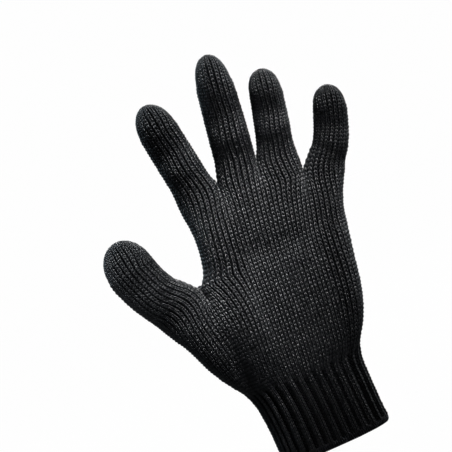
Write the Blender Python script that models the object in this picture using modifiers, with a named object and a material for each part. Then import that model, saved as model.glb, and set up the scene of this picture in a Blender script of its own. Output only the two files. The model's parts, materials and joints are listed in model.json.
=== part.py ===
"""Left-hand knitted cut-resistant glove, in the shape it has on a hand.

Frame: the glove stands on the flat edge of its cuff, fingers up (+Z), palm to the front (-Y),
thumb to the left (-X). The origin is below the middle of the whole glove. Tables are in millimetres.

The glove is a run of hollow knitted tubes, as a glove machine makes it: four finger tubes, a
three-finger band, a four-finger band, the thumb tube, the palm body and the ribbed cuff.
Each tube is lofted as an outer skin through rings of points and given its thickness by Solidify.
"""

import math

import bpy
import numpy as np

MM = 0.001
NAME = "knitted_cut_resistant_glove"

# the glove's frame is drawn about the wrist, and this moves it to the middle of its own box
SHIFT = np.array([-0.12448, 2.53628, 0.0])

WALL = 1.9  # thickness of the knit
HALF_GAP = 0.18  # half of the gap between neighbouring tubes
SQUARE = 2.3  # how square a tube's section is: 2 is an ellipse

# courses of knitting, counted up from the top of the rib
THUMB_ROW, LITTLE_ROW, TOP_ROW = 29.0, 45.0, 51.0
WRIST_ROW = 6.4  # the palm body starts here, above the knit that bends at the wrist

# lines between the parts of the hand: course, x, z, depth to the front, depth to the back
EDGES = {
    "outer": [
        (0, -46.3, 58.0, 0.0, 0.0),
        (5, -53.5, 69.0, 1.0, -1.0),
        (10, -58.8, 79.5, 2.0, -2.0),
        (15, -63.0, 90.0, 3.0, -3.0),
        (20, -67.3, 100.5, 4.0, -4.0),
        (25, -73.3, 110.5, 5.2, -5.2),
        (29, -78.2, 118.5, 6.0, -6.0),
    ],
    "thumb_split": [
        (0, -35.5, 58.0, 16.4, 17.6),
        (10, -35.8, 83.5, 22.4, 17.6),
        (20, -38.4, 109.4, 21.2, 14.6),
        (26, -41.0, 125.2, 11.8, 9.3),
        (29, -42.5, 131.7, 4.2, 3.6),
    ],
    "index_side": [
        (29, -42.0, 131.8, 0.0, 0.0),
        (31, -37.6, 137.2, 0.0, 0.0),
        (35, -33.9, 148.4, 0.0, 0.0),
        (40, -32.1, 160.6, 0.0, 0.0),
        (45, -32.0, 172.0, 0.0, 0.0),
        (51, -33.7, 186.0, 0.0, 0.0),
    ],
    "index_middle": [
        (0, -13.5, 58.0, 21.2, 24.2),
        (10, -12.5, 83.5, 21.6, 20.6),
        (20, -11.0, 110.5, 18.6, 17.8),
        (29, -10.0, 134.5, 16.6, 16.0),
        (40, -7.0, 162.5, 14.6, 14.2),
        (46, -5.0, 177.0, 10.5, 10.0),
        (51, -3.5, 189.5, 3.4, 3.4),
    ],
    "middle_ring": [
        (0, 8.5, 58.0, 21.4, 24.4),
        (10, 11.5, 83.5, 20.2, 20.6),
        (20, 14.0, 110.5, 17.2, 18.2),
        (29, 16.5, 134.5, 16.2, 16.4),
        (40, 21.0, 163.0, 14.6, 14.4),
        (46, 23.8, 179.0, 10.5, 10.2),
        (51, 26.0, 193.0, 3.4, 3.4),
    ],
    "ring_little": [
        (0, 30.0, 58.0, 18.2, 20.2),
        (10, 35.0, 83.5, 21.0, 18.0),
        (20, 38.5, 110.5, 19.4, 16.4),
        (29, 41.5, 134.5, 16.4, 15.0),
        (37, 46.5, 155.0, 13.6, 12.6),
        (42, 49.8, 168.0, 9.0, 8.6),
        (45, 51.6, 176.0, 3.4, 3.4),
    ],
    "ring_side": [
        (45, 51.8, 176.0, 0.0, 0.0),
        (51, 52.3, 188.4, 0.0, 0.0),
    ],
    "little_side": [
        (0, 40.3, 58.0, 0.0, 0.0),
        (5, 48.0, 70.5, 0.0, 0.0),
        (10, 53.2, 83.0, 0.0, 0.0),
        (15, 56.6, 95.0, 0.0, 0.0),
        (20, 59.0, 108.0, 0.0, 0.0),
        (29, 64.3, 134.5, 0.0, 0.0),
        (35, 67.5, 147.0, 0.0, 0.0),
        (40, 71.8, 157.5, 0.0, 0.0),
        (45, 79.0, 169.5, 0.0, 0.0),
    ],
}

# the middle of each part of the hand: course, depth to the front, depth to the back
LOBES = {
    "thumb": [(0, 13.5, 13.5), (10, 19.8, 14.0), (20, 21.6, 11.4), (29, 19.0, 9.5)],
    "index": [
        (0, 20.4, 22.4),
        (8, 24.0, 20.4),
        (15, 26.0, 18.4),
        (22, 23.2, 17.0),
        (26, 20.6, 16.4),
        (30, 16.8, 16.0),
        (35, 16.8, 15.6),
        (42, 15.4, 15.0),
        (51, 12.4, 12.2),
    ],
    "middle": [
        (0, 21.4, 24.4),
        (8, 20.8, 22.0),
        (15, 19.8, 20.0),
        (22, 18.6, 18.2),
        (26, 17.6, 17.4),
        (30, 15.2, 17.0),
        (35, 16.6, 16.4),
        (42, 15.8, 15.6),
        (51, 12.8, 12.8),
    ],
    "ring": [
        (0, 20.6, 23.2),
        (8, 21.0, 20.6),
        (15, 20.8, 18.4),
        (22, 19.6, 17.2),
        (26, 18.6, 16.8),
        (30, 15.8, 16.4),
        (35, 16.6, 15.8),
        (42, 15.2, 14.8),
        (51, 12.2, 12.0),
    ],
    "little": [
        (0, 15.6, 16.8),
        (8, 19.4, 16.0),
        (15, 20.8, 15.2),
        (22, 19.8, 14.8),
        (27, 18.2, 14.5),
        (31, 15.8, 14.2),
        (36, 15.4, 13.6),
        (41, 13.0, 12.6),
        (45, 11.6, 11.2),
    ],
}

# a tube's middle line from its root to its tip (x, y, z), its half width and half depth by distance
# from the root, and how long its round end is
TUBES = {
    "index": {
        "line": [
            (-18.9, 0.0, 187.8),
            (-21.9, -1.5, 210.0),
            (-25.3, -5.2, 235.0),
            (-28.1, -11.0, 258.4),
        ],
        "width": [(0, 14.3), (9, 12.8), (20, 12.6), (48, 12.4), (72, 11.8)],
        "depth": [(0, 12.4), (12, 11.8), (40, 11.2), (72, 10.6)],
        "round": 17.5,
    },
    "middle": {
        "line": [
            (11.5, 0.0, 191.2),
            (15.3, -1.6, 213.6),
            (19.5, -6.2, 242.5),
            (23.5, -13.0, 272.8),
        ],
        "width": [(0, 14.2), (9, 12.8), (22, 12.5), (50, 11.9), (60, 11.5), (69, 10.8), (83, 10.8)],
        "depth": [(0, 12.8), (12, 12.0), (50, 11.2), (83, 10.6)],
        "round": 16.5,
    },
    "ring": {
        "line": [
            (39.3, 0.0, 190.6),
            (44.6, -1.4, 209.8),
            (49.8, -4.6, 231.6),
            (52.8, -9.6, 249.9),
        ],
        "width": [(0, 12.1), (9, 11.2), (20, 10.8), (33, 10.4), (45, 10.0), (63, 10.1)],
        "depth": [(0, 12.2), (12, 11.0), (40, 10.2), (63, 9.8)],
        "round": 15.5,
    },
    "little": {
        "line": [
            (65.6, 0.0, 172.6),
            (76.5, -1.2, 186.3),
            (84.2, -3.6, 203.8),
            (89.0, -8.0, 222.6),
        ],
        "width": [(0, 13.3), (8, 11.5), (18, 10.9), (34, 10.4), (56, 9.8)],
        "depth": [(0, 11.4), (10, 10.2), (34, 9.5), (56, 9.2)],
        "round": 13.5,
    },
    "thumb": {
        "line": [
            (-60.4, -5.5, 125.1),
            (-70.9, -11.0, 138.9),
            (-78.9, -16.5, 157.8),
            (-83.0, -20.5, 182.7),
        ],
        "width": [(0, 19.0), (9, 15.9), (20, 15.4), (42, 15.7), (66, 15.7)],
        "depth": [(0, 14.8), (10, 14.2), (42, 13.2), (66, 12.8)],
        "round": 20.0,
    },
}

# (name, from, to) of the pieces along each tube, in mm from its root; None ends at the tip
PIECES = {
    "index": [
        ("index_root_knit", 0.2, 13.0),
        ("index_lower_stall", 13.0, 22.0),
        ("index_knuckle_knit", 22.0, 35.0),
        ("index_middle_stall", 35.0, 47.0),
        ("index_end_knuckle_knit", 47.0, 53.0),
        ("index_fingertip", 53.0, None),
    ],
    "middle": [
        ("middle_root_knit", 0.2, 14.0),
        ("middle_lower_stall", 14.0, 26.0),
        ("middle_knuckle_knit", 26.0, 39.5),
        ("middle_middle_stall", 39.5, 55.0),
        ("middle_end_knuckle_knit", 55.0, 61.0),
        ("middle_fingertip", 61.0, None),
    ],
    "ring": [
        ("ring_root_knit", 0.2, 12.6),
        ("ring_lower_stall", 12.6, 21.2),
        ("ring_knuckle_knit", 21.2, 33.2),
        ("ring_middle_stall", 33.2, 43.8),
        ("ring_end_knuckle_knit", 43.8, 49.4),
        ("ring_fingertip", 49.4, None),
    ],
    "little": [
        ("little_root_knit", 0.2, 11.8),
        ("little_lower_stall", 11.8, 18.2),
        ("little_knuckle_knit", 18.2, 28.6),
        ("little_middle_stall", 28.6, 36.8),
        ("little_end_knuckle_knit", 36.8, 41.6),
        ("little_fingertip", 41.6, None),
    ],
    "thumb": [
        ("thumb_root_knit", 0.5, 13.5),
        ("thumb_lower_stall", 13.5, 25.0),
        ("thumb_knuckle_knit", 25.0, 40.0),
        ("thumb_tip", 40.0, None),
    ],
}

# the cuff: z, half width, half depth, middle x, middle y
CUFF = [
    (0.0, 38.0, 24.0, -0.9, 0.9),
    (8.0, 37.4, 23.6, -1.0, 1.0),
    (35.0, 37.6, 22.8, -1.4, 1.3),
    (44.0, 38.2, 22.7, -1.9, 1.5),
    (50.0, 39.4, 22.7, -2.3, 1.5),
    (58.0, 43.3, 22.9, -3.0, 1.5),
]
HEM_TOP = 4.2
HEM_WALL = 3.4
RIB_TOP = 50.0
RIBS = 33  # ribs round the cuff
RIB_DEPTH = 0.55
ELASTIC_TURNS = 6
ELASTIC_R = 0.45

# small yarn lumps: name, place on the skin's outside, half sizes along its own axes, lean about Y
TACKS = [
    ("thumb_crotch_tack", (-42.4, -0.4, 134.6), (1.9, 1.3, 1.5), 35.0),
    ("index_middle_crotch_tack", (-3.5, -7.6, 190.6), (1.0, 1.2, 1.3), 0.0),
    ("middle_ring_crotch_tack", (26.0, -7.6, 194.1), (1.0, 1.2, 1.3), 0.0),
    ("ring_little_crotch_tack", (51.75, -7.0, 177.4), (1.0, 1.2, 1.3), 0.0),
]

COLOURS = {
    "knit": (0.012, 0.012, 0.014, 1.0),
    "rib": (0.010, 0.010, 0.012, 1.0),
    "hem": (0.014, 0.014, 0.016, 1.0),
    "closure": (0.016, 0.016, 0.019, 1.0),
    "tack": (0.045, 0.045, 0.050, 1.0),
    "elastic": (0.030, 0.030, 0.032, 1.0),
}


def table(rows, at):
    """Smooth values between a table's rows: the first column is where, the rest are values."""
    rows = np.array(rows, float)
    x, y = rows[:, 0], rows[:, 1:]
    slope = np.gradient(y, x, axis=0) if len(x) > 2 else np.diff(y, axis=0)[[0, 0]] / (x[1] - x[0])
    i = int(np.clip(np.searchsorted(x, at) - 1, 0, len(x) - 2))
    h = x[i + 1] - x[i]
    t = float(np.clip((at - x[i]) / h, 0.0, 1.0))
    a, b = 2 * t**3 - 3 * t**2 + 1, t**3 - 2 * t**2 + t
    c, d = 1 - a, t**3 - t**2
    return a * y[i] + b * h * slope[i] + c * y[i + 1] + d * h * slope[i + 1]


def even(points, n):
    """n + 1 points evenly spaced along a line of points."""
    step = np.linalg.norm(np.diff(points, axis=0), axis=1)
    along = np.concatenate([[0.0], np.cumsum(step)])
    at = np.linspace(0.0, along[-1], n + 1)
    return np.stack([np.interp(at, along, points[:, k]) for k in range(3)], 1)


def arc(row, lobe, left, right, side, n):
    """One part of the hand across the front (side 0) or the back (side 1) of a course."""
    xl, zl, *dl = table(EDGES[left], row)
    xr, zr, *dr = table(EDGES[right], row)
    deep = table(LOBES[lobe], row)[side]
    turn = np.linspace(0.0, math.pi, 41)
    across = np.cos(turn)
    across = -np.sign(across) * np.abs(across) ** (2 / SQUARE)
    share = (across + 1) / 2
    # a deep groove at an edge makes that side round, and no groove makes it run on smoothly
    groove = np.clip(1.4 * (1 - np.array([dl[side], dr[side]]) / deep), 0.0, 1.0)
    power = 2.0 + (2 / SQUARE - 2.0) * np.where(share < 0.5, groove[0], groove[1])
    bulge = np.clip(np.sin(turn), 0.0, 1.0) ** power
    base = dl[side] + (dr[side] - dl[side]) * share
    depth = base + (deep - base) * bulge
    y = -depth if side == 0 else depth
    line = np.stack([xl + (xr - xl) * share, y, zl + (zr - zl) * share], 1)
    return even(line, n)


def closed_course(row, lobes, n):
    """A whole course round the hand: the front from left to right, then the back."""
    names = [lobe for lobe, _, _ in lobes]
    front = [arc(row, *lobes[k], 0, n)[:-1] for k in range(len(names))]
    back = [arc(row, *lobes[k], 1, n)[::-1][:-1] for k in reversed(range(len(names)))]
    return np.concatenate(front + back)


FIVE = [
    ("thumb", "outer", "thumb_split"),
    ("index", "thumb_split", "index_middle"),
    ("middle", "index_middle", "middle_ring"),
    ("ring", "middle_ring", "ring_little"),
    ("little", "ring_little", "little_side"),
]
FOUR = [("index", "index_side", "index_middle")] + FIVE[2:]
THREE = FOUR[:2] + [("ring", "middle_ring", "ring_side")]


def line_of(tube):
    """A tube's middle line as many points, with the distance along it."""
    control = [(k, *p) for k, p in enumerate(TUBES[tube]["line"])]
    points = np.array([table(control, t) for t in np.linspace(0, len(control) - 1, 121)])
    step = np.linalg.norm(np.diff(points, axis=0), axis=1)
    return points, np.concatenate([[0.0], np.cumsum(step)])


def length_of(tube):
    """How long a tube is along its middle line."""
    return line_of(tube)[1][-1]


def frame_at(tube, s):
    """The middle of a tube at distance s from its root, the way it runs, and the way across it."""
    points, along = line_of(tube)
    centre = np.array([np.interp(s, along, points[:, k]) for k in range(3)])
    ahead = np.array([np.interp(s + 1.5, along, points[:, k]) for k in range(3)])
    behind = np.array([np.interp(s - 1.5, along, points[:, k]) for k in range(3)])
    run = ahead - behind
    run /= np.linalg.norm(run)
    across = np.array([run[2], 0.0, -run[0]])
    across /= np.linalg.norm(across)
    return centre, run, across


ROOTS = {
    "thumb": ((-78.2, 118.5), (-42.7, 131.7)),
    "index": ((-33.7, 186.0), (-3.7, 189.5)),
    "middle": ((-3.3, 189.5), (25.8, 193.0)),
    "ring": ((26.2, 193.0), (52.3, 188.4)),
    "little": ((51.9, 176.0), (79.0, 169.5)),
}
SETTLE = 12.0  # a tube turns square to its own line over this distance from its root


def tube_ring(tube, s, n):
    """A ring of n points round a tube at distance s from its root."""
    shape = TUBES[tube]
    length = length_of(tube)
    centre, run, across = frame_at(tube, s)
    (xl, zl), (xr, zr) = ROOTS[tube]
    root = np.array([xr - xl, 0.0, zr - zl])
    root /= np.linalg.norm(root)
    w = min(s / SETTLE, 1.0)
    w = w * w * (3 - 2 * w)
    across = root * (1 - w) + across * w
    across /= np.linalg.norm(across)
    up = run * w + np.cross([0.0, -1.0, 0.0], across) * (1 - w)
    forward = np.cross(across, up)
    forward /= np.linalg.norm(forward)
    left = max(length - s, 0.0)
    close = math.sqrt(max(1 - max(1 - left / shape["round"], 0.0) ** 2, 0.0))
    half = table(shape["width"], s)[0] * close
    deep = table(shape["depth"], s)[0] * close
    turn = np.linspace(0.0, 2 * math.pi, 161)
    c, d = np.cos(turn), np.sin(turn)
    x = -np.sign(c) * np.abs(c) ** (2 / SQUARE) * half
    y = np.sign(d) * np.abs(d) ** (2 / SQUARE) * deep
    ring = centre + x[:, None] * across + y[:, None] * forward
    return even(ring, n)[:-1]


def cuff_ring(z, n, inset=0.0, ribs=0.0):
    """A ring of n points round the cuff."""
    half, deep, middle, back = table(CUFF, z)
    turn = np.linspace(0.0, 2 * math.pi, 721)
    c, d = np.cos(turn), np.sin(turn)
    x = middle - np.sign(c) * np.abs(c) ** (2 / SQUARE) * (half - inset)
    y = back - np.sign(d) * np.abs(d) ** (2 / SQUARE) * (deep - inset)
    ring = even(np.stack([x, y, np.full_like(x, z)], 1), n)[:-1]
    if ribs:
        wave = np.cos(np.arange(n) * RIBS / n * 2 * math.pi) * 0.5 - 0.5
        out = ring - np.array([middle, back, z])
        out /= np.linalg.norm(out, axis=1)[:, None]
        ring = ring + out * (wave * ribs)[:, None]
    return ring


def blend_ring(course, z):
    """A ring of the cuff at height z whose points keep their places round a course of the hand."""
    shut = np.concatenate([course, course[:1]])
    step = np.linalg.norm(np.diff(shut, axis=0), axis=1)
    share = np.concatenate([[0.0], np.cumsum(step)])[:-1] / step.sum()
    ring = cuff_ring(z, 240)
    ring = np.concatenate([ring, ring[:1]])
    return np.stack([np.interp(share * 240, np.arange(241), ring[:, k]) for k in range(3)], 1)


def clear_scene():
    """Starts from nothing."""
    for ob in list(bpy.data.objects):
        bpy.data.objects.remove(ob, do_unlink=True)


def material(name):
    """A plain material in the record's colour."""
    mat = bpy.data.materials.new(name)
    mat.use_nodes = True
    shader = mat.node_tree.nodes["Principled BSDF"]
    shader.inputs["Base Color"].default_value = COLOURS[name]
    shader.inputs["Roughness"].default_value = 0.85
    return mat


def add_mesh(name, vertices, faces, slot):
    """A mesh object in metres, in the glove's own collection."""
    mesh = bpy.data.meshes.new(name)
    mesh.from_pydata([tuple((np.array(v) + SHIFT) * MM) for v in vertices], [], faces)
    mesh.update()
    ob = bpy.data.objects.new(name, mesh)
    COLLECTION.objects.link(ob)
    mat = material(slot)
    mat.name = slot + "_" + name
    mesh.materials.append(mat)
    return ob


def thicken(ob, wall):
    """Gives an outer skin its thickness, inwards."""
    solid = ob.modifiers.new("wall", "SOLIDIFY")
    solid.thickness = wall * MM
    solid.offset = -1.0
    solid.use_even_offset = False
    solid.use_rim = True
    return ob


def skin(name, rings, slot, wall=WALL, tip=None):
    """A hollow tube through rings of the same number of points, closed by a tip point if given."""
    n = len(rings[0])
    vertices = np.concatenate(rings)
    faces = []
    for r in range(len(rings) - 1):
        for k in range(n):
            a, b = r * n + k, r * n + (k + 1) % n
            faces.append((a, b, b + n, a + n))
    if tip is not None:
        last = (len(rings) - 1) * n
        vertices = np.concatenate([vertices, [tip]])
        faces += [(last + k, last + (k + 1) % n, len(vertices) - 1) for k in range(n)]
    return thicken(add_mesh(name, vertices, faces, slot), wall)


def add_tube_pieces(tube, n=18):
    """The pieces along one finger or the thumb."""
    length = length_of(tube)
    for name, start, stop in PIECES[tube]:
        begin = start + HALF_GAP
        if stop is None:
            turn = np.linspace(0.0, math.pi / 2, 8)[:-1]
            steps = begin + (length - begin) * np.sin(turn)
            tip = frame_at(tube, length)[0]
            rings = [tube_ring(tube, s, n) for s in steps]
            skin(name, rings, "knit", tip=tip)
        else:
            count = max(2, round((stop - start) / 6) + 1)
            steps = np.linspace(begin, stop - HALF_GAP, count)
            skin(name, [tube_ring(tube, s, n) for s in steps], "knit")


def add_lump(name, centre, half, lean, slot):
    """A small rounded lump of yarn."""
    bpy.ops.mesh.primitive_uv_sphere_add(segments=8, ring_count=6, radius=1.0)
    ob = bpy.context.active_object
    ob.name = name
    ob.data.name = name
    for collection in list(ob.users_collection):
        collection.objects.unlink(ob)
    COLLECTION.objects.link(ob)
    ob.scale = [h * MM for h in half]
    ob.rotation_euler = (0.0, math.radians(lean), 0.0)
    ob.location = (np.array(centre) + SHIFT) * MM
    mat = material(slot)
    mat.name = slot + "_" + name
    ob.data.materials.append(mat)
    return ob


def add_closures():
    """The drawn-up end of each finger tube and of the thumb tube."""
    for tube in PIECES:
        length = length_of(tube)
        tip, run, _ = frame_at(tube, length)
        lean = math.degrees(math.atan2(run[0], run[2]))
        add_lump(tube + "_tip_closure", tip + run * 0.85, (1.7, 1.4, 0.5), lean, "closure")


def add_hand():
    """The knitted body of the hand, below the finger tubes."""
    rows = np.linspace(WRIST_ROW, THUMB_ROW - 0.1, 9)
    skin("palm_body", [closed_course(r, FIVE, 6) for r in rows], "knit")
    rows = np.linspace(THUMB_ROW + 0.1, LITTLE_ROW - 0.1, 6)
    skin("four_finger_band", [closed_course(r, FOUR, 6) for r in rows], "knit")
    rows = np.linspace(LITTLE_ROW + 0.1, TOP_ROW - 0.07, 3)
    skin("three_finger_band", [closed_course(r, THREE, 6) for r in rows], "knit")


def add_wrist_knit():
    """The knit that bends between the cuff and the palm body."""
    high = [closed_course(r, FIVE, 6) for r in (0.0, 2.0, 4.0, WRIST_ROW - 0.14)]
    low = [blend_ring(high[0], z) for z in (RIB_TOP + HALF_GAP, 54.0)]
    skin("wrist_knit", low + high, "knit")


def add_cuff():
    """The ribbed cuff, its flat overlocked edge and the elastic thread inside it."""
    n = RIBS * 6
    levels = [HEM_TOP + 2 * HALF_GAP, 36.0, RIB_TOP - HALF_GAP]
    rings = [cuff_ring(z, n, ribs=RIB_DEPTH) for z in levels]
    skin("rib_cuff", rings, "rib", wall=WALL - RIB_DEPTH)
    edge = 0.7
    profile = [(0.0, edge), (edge, 0.0), (HEM_TOP - edge, 0.0), (HEM_TOP, edge)]
    profile += [(HEM_TOP, HEM_WALL - edge), (HEM_TOP - edge, HEM_WALL)]
    profile += [(edge, HEM_WALL), (0.0, HEM_WALL - edge)]
    count = 60
    rings = [cuff_ring(0.0, count, inset=i - 0.7) + np.array([0, 0, z]) for z, i in profile]
    faces = []
    for r in range(len(rings)):
        up = (r + 1) % len(rings)
        for k in range(count):
            right = (k + 1) % count
            faces.append((r * count + k, r * count + right, up * count + right, up * count + k))
    add_mesh("cuff_hem", np.concatenate(rings), faces, "hem")


def add_elastic():
    """The elastic thread, one spiral that lies against the inside of the cuff."""
    per_turn = 28
    first, last = HEM_TOP + 4.0, RIB_TOP - 4.0
    count = ELASTIC_TURNS * per_turn
    points = []
    for k in range(count + 1):
        z = first + (last - first) * k / count
        ring = cuff_ring(z, per_turn, inset=WALL + ELASTIC_R + 0.6)
        points.append(ring[k % per_turn])
    curve = bpy.data.curves.new("cuff_elastic_thread", "CURVE")
    curve.dimensions = "3D"
    curve.bevel_depth = ELASTIC_R * MM
    curve.bevel_resolution = 0
    curve.use_fill_caps = True
    spline = curve.splines.new("POLY")
    spline.points.add(count)
    for target, point in zip(spline.points, points):
        target.co = (*((point + SHIFT) * MM), 1.0)
    ob = bpy.data.objects.new("cuff_elastic_thread", curve)
    COLLECTION.objects.link(ob)
    mat = material("elastic")
    mat.name = "elastic_cuff_elastic_thread"
    curve.materials.append(mat)


clear_scene()
COLLECTION = bpy.data.collections.new(NAME)
bpy.context.scene.collection.children.link(COLLECTION)

add_cuff()
add_elastic()
add_wrist_knit()
add_hand()
for finger in PIECES:
    add_tube_pieces(finger)
add_closures()
for tack in TACKS:
    add_lump(*tack, "tack")
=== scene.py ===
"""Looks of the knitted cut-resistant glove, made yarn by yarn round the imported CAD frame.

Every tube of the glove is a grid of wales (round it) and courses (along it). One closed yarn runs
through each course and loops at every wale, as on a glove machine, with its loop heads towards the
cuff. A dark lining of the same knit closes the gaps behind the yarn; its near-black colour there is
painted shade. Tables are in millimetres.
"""

import json
import math

import bpy
import mathutils
import numpy as np
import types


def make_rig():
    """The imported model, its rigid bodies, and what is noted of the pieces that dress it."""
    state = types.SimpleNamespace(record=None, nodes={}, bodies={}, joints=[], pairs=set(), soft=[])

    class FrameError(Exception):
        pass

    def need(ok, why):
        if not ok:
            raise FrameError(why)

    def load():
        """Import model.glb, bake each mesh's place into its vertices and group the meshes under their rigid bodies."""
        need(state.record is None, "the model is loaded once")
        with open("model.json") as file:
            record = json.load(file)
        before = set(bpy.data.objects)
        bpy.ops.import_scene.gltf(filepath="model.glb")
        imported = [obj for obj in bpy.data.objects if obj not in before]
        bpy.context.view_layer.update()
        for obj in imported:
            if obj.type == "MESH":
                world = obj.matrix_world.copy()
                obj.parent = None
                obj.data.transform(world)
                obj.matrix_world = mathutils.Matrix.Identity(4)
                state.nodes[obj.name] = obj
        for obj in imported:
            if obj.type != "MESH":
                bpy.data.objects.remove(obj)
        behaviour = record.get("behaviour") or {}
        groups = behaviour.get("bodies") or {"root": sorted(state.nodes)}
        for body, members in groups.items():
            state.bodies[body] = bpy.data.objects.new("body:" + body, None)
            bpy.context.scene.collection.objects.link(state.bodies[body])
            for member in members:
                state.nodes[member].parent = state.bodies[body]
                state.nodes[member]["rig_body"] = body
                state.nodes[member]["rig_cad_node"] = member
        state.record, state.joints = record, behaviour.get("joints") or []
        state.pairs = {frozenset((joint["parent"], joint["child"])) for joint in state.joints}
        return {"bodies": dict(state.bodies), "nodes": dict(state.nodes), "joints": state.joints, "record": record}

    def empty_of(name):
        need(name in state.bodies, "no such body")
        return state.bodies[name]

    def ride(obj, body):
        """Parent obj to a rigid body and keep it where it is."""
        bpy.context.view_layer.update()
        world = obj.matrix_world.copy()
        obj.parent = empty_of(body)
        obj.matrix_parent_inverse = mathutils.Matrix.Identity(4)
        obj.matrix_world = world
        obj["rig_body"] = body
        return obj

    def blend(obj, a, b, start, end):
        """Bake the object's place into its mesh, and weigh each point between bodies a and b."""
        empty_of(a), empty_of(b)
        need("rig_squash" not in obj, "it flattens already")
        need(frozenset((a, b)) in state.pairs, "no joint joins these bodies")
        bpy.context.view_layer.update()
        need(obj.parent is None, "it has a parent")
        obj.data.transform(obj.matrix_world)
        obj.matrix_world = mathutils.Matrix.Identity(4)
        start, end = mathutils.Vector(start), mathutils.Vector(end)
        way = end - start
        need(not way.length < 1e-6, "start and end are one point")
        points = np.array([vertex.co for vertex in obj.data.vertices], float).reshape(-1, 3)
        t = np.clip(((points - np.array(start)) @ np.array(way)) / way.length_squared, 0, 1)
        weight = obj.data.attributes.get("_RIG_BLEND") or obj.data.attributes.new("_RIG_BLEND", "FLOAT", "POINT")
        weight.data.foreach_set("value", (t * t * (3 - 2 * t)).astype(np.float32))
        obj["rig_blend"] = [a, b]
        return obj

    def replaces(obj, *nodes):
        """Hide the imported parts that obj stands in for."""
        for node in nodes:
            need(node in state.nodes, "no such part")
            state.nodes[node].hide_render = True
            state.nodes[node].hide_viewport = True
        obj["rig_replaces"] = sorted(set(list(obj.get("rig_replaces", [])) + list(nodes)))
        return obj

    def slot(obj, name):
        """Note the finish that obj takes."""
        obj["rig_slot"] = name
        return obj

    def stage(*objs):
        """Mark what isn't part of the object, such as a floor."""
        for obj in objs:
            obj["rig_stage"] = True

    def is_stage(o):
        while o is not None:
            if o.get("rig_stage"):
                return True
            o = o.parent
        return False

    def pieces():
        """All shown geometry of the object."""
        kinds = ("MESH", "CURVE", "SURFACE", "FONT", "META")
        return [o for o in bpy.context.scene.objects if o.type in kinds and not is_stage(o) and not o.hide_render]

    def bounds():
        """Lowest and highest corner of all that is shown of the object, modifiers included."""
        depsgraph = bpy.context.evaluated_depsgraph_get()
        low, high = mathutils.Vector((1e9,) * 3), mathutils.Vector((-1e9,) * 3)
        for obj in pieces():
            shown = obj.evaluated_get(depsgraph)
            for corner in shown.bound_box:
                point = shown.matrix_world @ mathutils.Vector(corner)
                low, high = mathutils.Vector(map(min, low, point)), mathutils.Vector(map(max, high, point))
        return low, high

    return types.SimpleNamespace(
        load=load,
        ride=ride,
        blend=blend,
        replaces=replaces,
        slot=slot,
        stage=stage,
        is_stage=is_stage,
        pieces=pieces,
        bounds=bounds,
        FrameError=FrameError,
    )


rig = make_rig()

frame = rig.load()
CAD_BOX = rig.bounds()

MM = 0.001
SHIFT = np.array([-0.12448, 2.53628, 0.0])  # from the tables' place to the glove's own frame
SQUARE = 2.3  # how square a tube's section is: 2 is an ellipse

STEPS = 12  # points along one stitch
SIDES = 6  # sides of the yarn
YARN = 0.60  # half thickness of the yarn
SWING = 0.20  # how far a loop swings round, in wales
CLOSE = 0.045  # how far a loop's legs lean together, in wales
REACH = 0.84  # half height of a loop, in courses
LEG = 0.80  # how far the legs of a loop stand out
RIB = 0.62  # how far the ribs stand out and in
RIBS = 33  # ribs round the cuff
RIB_FADE = 5.0  # courses over which the ribs end
LINING = 0.75  # how far the lining lies behind the middle of the yarn
LINING_STRIPS = 3  # how many courses' room the lining has on the texture sheet
WALE, HIGH = 2.7, 2.15  # the width and height of a stitch at which the yarn has its full thickness
DRAWN = 0.62, 1.08  # how thin and how thick the yarn is drawn in smaller and larger stitches
THREAD = 0.42  # half thickness of the sewing thread and of the elastic

THUMB_ROW, LITTLE_ROW, TOP_ROW = 29, 45, 51  # courses above the cuff where tubes part
CUFF_TOP = 58.0
HEM_TOP = 4.2
CUFF_COURSES = 23
COURSE = 2.3  # along the fingers
POCKET = math.radians(38.0)  # where the ends of a fingertip's closing line lie

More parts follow.
